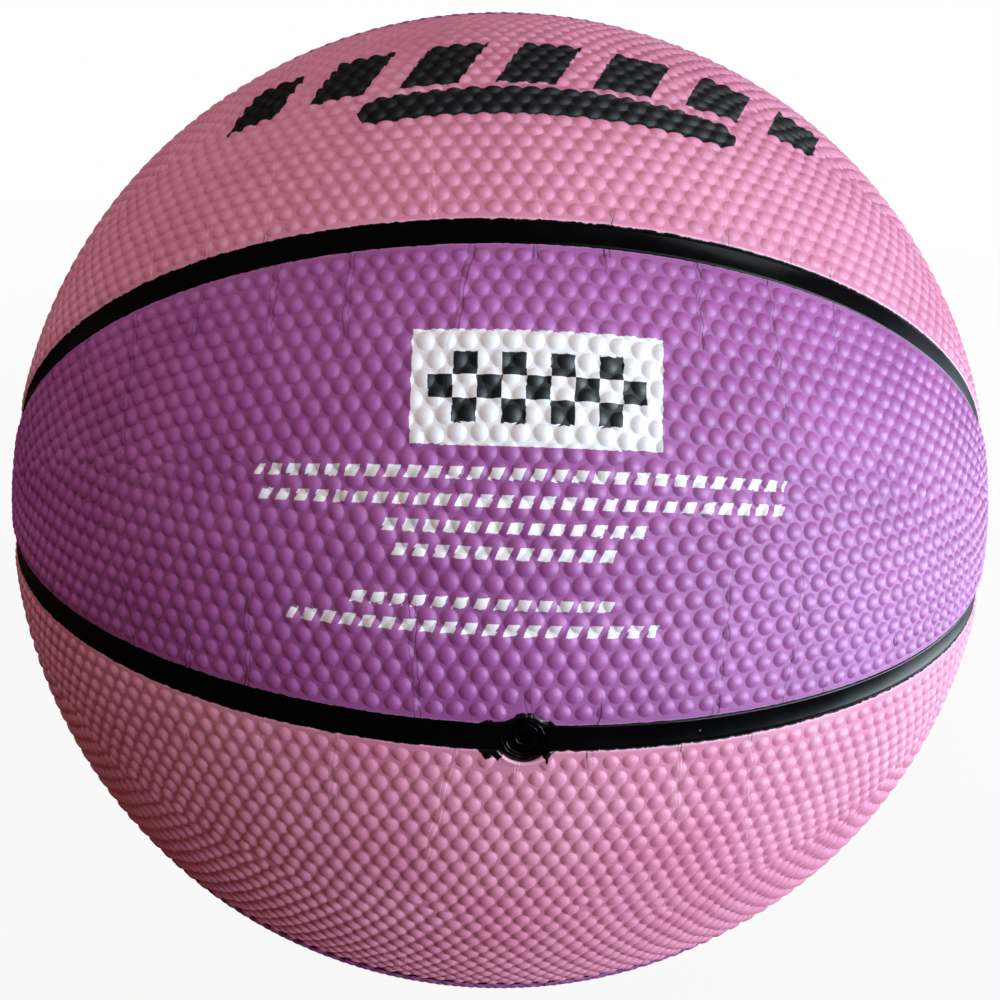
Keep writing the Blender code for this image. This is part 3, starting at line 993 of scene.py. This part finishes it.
def purple_front_ink(tree, along, across):
    """White print on the front panel: a chequered block above rows of small slanted dashes."""
    block = rectangle(tree, along, across, BLOCK_LEVEL, BLOCK_HALVES)
    odd = []
    for distance in (along, maths(tree, "SUBTRACT", across, BLOCK_LEVEL)):
        squares = maths(tree, "PINGPONG", distance, CHEQUER_SQUARE)
        odd.append(maths(tree, "GREATER_THAN", squares, CHEQUER_SQUARE / 2))
    chequer = within(tree, odd[0], odd[1], 0.5)
    middle = rectangle(tree, along, across, BLOCK_LEVEL, CHEQUER_HALVES)
    inks = [(block, INK_WHITE), (both(tree, chequer, middle), INK_BLACK)]
    slant = maths(tree, "MULTIPLY_ADD", across, DASH_SLANT, along)
    dash = within(tree, maths(tree, "PINGPONG", slant, DASH_HALF_PITCH), 0.0, DASH_HALF_WIDTH)
    for level, start, half in DASH_ROWS:
        band = both(tree, within(tree, across, level, DASH_HALF_HEIGHT), within(tree, slant, start, half))
        inks.append((both(tree, dash, band), INK_WHITE))
    return inks


def pink_upper_ink(tree, along, across):
    """Black print on the upper panel: an arched row of slanted bars over a plain lozenge."""
    arch = maths(tree, "MULTIPLY", along, 1 / ARCH_REACH)
    bow = maths(tree, "MULTIPLY", arch, arch)
    level = maths(tree, "MULTIPLY_ADD", bow, ARCH_DROP, across)
    slant = maths(tree, "MULTIPLY_ADD", level, BAR_SLANT, along)
    in_height = within(tree, level, BARS_LEVEL, BAR_HALF_HEIGHT)
    band = both(tree, in_height, within(tree, slant, 0.0, BARS_HALF_LENGTH))
    bar = maths(tree, "PINGPONG", slant, BAR_HALF_PITCH)
    bars = both(tree, within(tree, bar, 0.0, BAR_HALF_WIDTH), band)
    from_middle = maths(tree, "ABSOLUTE", maths(tree, "SUBTRACT", along, PILL_MIDDLE[0]))
    overrun = maths(tree, "SUBTRACT", from_middle, PILL_HALF_LENGTH)
    tail = maths(tree, "MAXIMUM", overrun, 0.0)
    lift = maths(tree, "SUBTRACT", across, PILL_MIDDLE[1])
    spread = add_node(tree, "CombineXYZ", {0: tail, 1: lift})
    length = add_node(tree, "VectorMath", {0: spread}, operation="LENGTH").outputs["Value"]
    pill = maths(tree, "LESS_THAN", length, PILL_RADIUS)
    return [(bars, INK_BLACK), (pill, INK_BLACK)]


# The front panel and the one below it carry the valve's notch, each on its own side
UPPER_PAINT = 1.3
LOWER_PAINT = 2.6
NOTCHED = {0: -1, PANEL_COUNT - 1: 1}

purple_plain = moulded_rubber("purple_rubber", PURPLE_TONES)
purple_front = moulded_rubber("purple_rubber_front", PURPLE_TONES, purple_front_ink, -1, UPPER_PAINT)
pink_plain = moulded_rubber("pink_rubber", PINK_TONES)
pink_upper = moulded_rubber("pink_rubber_upper", PINK_TONES, pink_upper_ink)
pink_lower = moulded_rubber("pink_rubber_lower", PINK_TONES, None, 1, LOWER_PAINT, True)
special_rubbers = {0: purple_front, 1: pink_upper, PANEL_COUNT - 1: pink_lower}
even_places = pebble_places()
blanks = {side: panel_mesh(f"panel_blank_{side}", even_places, side) for side in (0, -1, 1)}
for number in range(PANEL_COUNT):
    cover = blanks[NOTCHED.get(number, 0)].copy()
    cover.transform(Matrix.Rotation(-(number + 0.5) * PANEL_TURN, 4, "X"))
    colour_name, plain_rubber = ("pink", pink_plain) if number % 2 else ("purple", purple_plain)
    rubber = special_rubbers.get(number, plain_rubber)
    panel_node = f"{colour_name}_panel_{number // 2 + 1}"
    panel = add_piece(f"panel_{number}", cover, rubber, "ball", [panel_node])
    rounding = panel.modifiers.new("rounding", "SUBSURF")
    rounding.levels = 1
    rounding.render_levels = 1
    rounding.use_limit_surface = False

# Studio
# A floor that looks white, with a patch of window light on its right that only reflections show. A long
# cool softbox lights the ball from the right. A weak one stands behind it, with a card for reflections, a
# warm light above and a low one at the back. The camera is close to the ball and a little above it.
FLOOR_SIZE = 40.0
FLOOR_PAINTED_SHADE = "98553f"
FLOOR_PALE = "f6f8fc"
FLOOR_SHADE_SPAN = (-0.03, 0.22)
WINDOW_COOL = "e4f5ff"
PATCH_PLACE = (0.75, -0.08, 0.0)
PATCH_SPAN = (0.1, 0.55)
PATCH_ENDS = (24.0, 0.3)
LIT_DIRECTION = (1.0, 0.6, 0.0)
LIT_SPAN = (0.13, 0.36)
LIT_ENDS = (0.02, 1.0)
FADE_SPAN = (0.3, 1.2)
FADE_ENDS = (0.94, 1.0)
WHITE = (1, 1, 1, 1)


def vector_value(tree, operation, *vectors):
    """The socket of a vector operation's plain number."""
    return add_node(tree, "VectorMath", dict(enumerate(vectors)), operation=operation).outputs["Value"]


def seen_directly(tree, rays):
    """1 for what the camera sees, straight or through something clear."""
    return maths(tree, "MAXIMUM", rays.outputs["Is Camera Ray"], rays.outputs["Is Transmission Ray"])


bm = bmesh.new()
floor_place = Matrix.Translation((0, 0, cad_box[0].z))
bmesh.ops.create_grid(bm, x_segments=1, y_segments=1, size=FLOOR_SIZE, matrix=floor_place)
floor_mesh = bpy.data.meshes.new("floor")
bm.to_mesh(floor_mesh)
bm.free()
floor = bpy.data.objects.new("floor", floor_mesh)
bpy.context.scene.collection.objects.link(floor)
floor_finish, tree = empty_material("pale_floor")
spot = add_node(tree, "TexCoord").outputs["Object"]
sideways = add_node(tree, "SeparateXYZ", {0: spot}).outputs["X"]
# Painted light and shade for the bounce: the floor's colour is dark and warm on the shaded left and pale on
# the lit right.
shaded_paper_tone = blended(tree, ramp(tree, sideways, FLOOR_SHADE_SPAN), FLOOR_PAINTED_SHADE, FLOOR_PALE)
paper = add_node(tree, "BsdfDiffuse", {"Color": shaded_paper_tone})
slanting = vector_value(tree, "DOT_PRODUCT", spot, LIT_DIRECTION)
lit_side = ramp(tree, slanting, LIT_SPAN, LIT_ENDS, "SMOOTHSTEP")
off_patch = vector_value(tree, "DISTANCE", spot, PATCH_PLACE)
patch = ramp(tree, off_patch, PATCH_SPAN, PATCH_ENDS, "SMOOTHSTEP")
pool = maths(tree, "MULTIPLY", lit_side, patch)
fade = ramp(tree, vector_value(tree, "LENGTH", spot), FADE_SPAN, FADE_ENDS)
rays = add_node(tree, "LightPath")
glossy = rays.outputs["Is Glossy Ray"]
past_white = maths(tree, "SUBTRACT", pool, 1.0)
strength = maths(tree, "MULTIPLY_ADD", past_white, glossy, 1.0)
tint = blended(tree, glossy, WHITE, WINDOW_COOL)
glow = add_node(tree, "Emission", {"Color": tint, "Strength": strength})
seen = maths(tree, "MAXIMUM", seen_directly(tree, rays), glossy)
backlit = maths(tree, "MULTIPLY", seen, fade)
surface = add_node(tree, "MixShader", {0: backlit, 1: paper, 2: glow})
add_node(tree, "OutputMaterial", {"Surface": surface})
floor_mesh.materials.append(floor_finish)

# The room: a window wall on the right, dim and warm on the left, both weaker in reflections, and white
# where the camera sees it. Each light is its strength and what reflections add to it
WINDOW_SIDE = (0.93, 0.05, -0.36)
WINDOW_SPAN = (-0.25, 0.55)
DIM_COLOUR = "ffd4bb"
DIM_LIGHT = (0.115, -0.085)
PANE_COLOUR = "eef4ff"
PANE_LIGHT = (0.30, -0.17)
world = bpy.data.worlds.new("studio")
bpy.context.scene.world = world
world.use_nodes = True
tree = world.node_tree
tree.nodes.clear()
rays = add_node(tree, "LightPath")
glossy = rays.outputs["Is Glossy Ray"]
toward = add_node(tree, "TexCoord").outputs["Generated"]
facing = vector_value(tree, "DOT_PRODUCT", toward, WINDOW_SIDE)
bright = ramp(tree, facing, WINDOW_SPAN, kind="SMOOTHSTEP")
walls = []
for colour, (light, in_reflections) in ((DIM_COLOUR, DIM_LIGHT), (PANE_COLOUR, PANE_LIGHT)):
    strength = maths(tree, "MULTIPLY_ADD", glossy, in_reflections, light)
    walls.append(add_node(tree, "Background", {"Color": linear(colour), "Strength": strength}))
room = add_node(tree, "MixShader", {0: bright, 1: walls[0], 2: walls[1]})
white = add_node(tree, "Background", {"Color": WHITE, "Strength": 1.0})
surface = add_node(tree, "MixShader", {0: seen_directly(tree, rays), 1: room, 2: white})
add_node(tree, "OutputWorld", {"Surface": surface})


def softbox(name, place, width, height, power, colour):
    """A softbox that looks at the ball's centre."""
    lamp = bpy.data.lights.new(name, "AREA")
    lamp.shape = "RECTANGLE"
    lamp.size = width
    lamp.size_y = height
    lamp.energy = power
    lamp.color = linear(colour)[:3]
    made = bpy.data.objects.new(name, lamp)
    turn = Vector(place).to_track_quat("Z", "Y").to_matrix().to_4x4()
    made.matrix_world = Matrix.Translation(place) @ turn
    bpy.context.scene.collection.objects.link(made)
    return made


softbox("key", (1.660, -1.099, 0.08), 1.5, 0.36, 56.0, "dceefc")
softbox("edge", (0.95, 0.62, 0.10), 0.8, 0.42, 0.4, "cfe8ff")
card = softbox("card", (1.22, -0.95, 1.05), 1.9, 1.5, 26.0, "e6f0fc")
card.visible_diffuse = False
top = softbox("top", (-0.36, -0.27, 0.97), 0.7, 0.7, 5.7, "fff8f0")
top.visible_glossy = False
back = softbox("back", (0.0, 1.7, 0.02), 1.2, 0.6, 14.0, "fff6ee")
back.visible_glossy = False
back.visible_camera = False

CAMERA_PLACE = (-0.01684, -0.30633, 0.11676)
CAMERA_RIGHT = Vector((0.9981, -0.0357, 0.0503))
CAMERA_UP = Vector((-0.0342, 0.3576, 0.9333))
CAMERA_FORWARD = Vector((0.0513, 0.9332, -0.3557))
SENSOR_WIDTH = 36.0
FOCAL_LENGTH = 48.87
NEAREST_SEEN = 0.01
camera_data = bpy.data.cameras.new("camera")
camera_data.sensor_width = SENSOR_WIDTH
camera_data.lens = FOCAL_LENGTH
camera_data.clip_start = NEAREST_SEEN
camera = bpy.data.objects.new("camera", camera_data)
view = Matrix((CAMERA_RIGHT, CAMERA_UP, -CAMERA_FORWARD)).transposed().to_4x4()
camera.matrix_world = Matrix.Translation(CAMERA_PLACE) @ view
bpy.context.scene.collection.objects.link(camera)
bpy.context.scene.camera = camera
bpy.context.scene.view_settings.view_transform = "Standard"
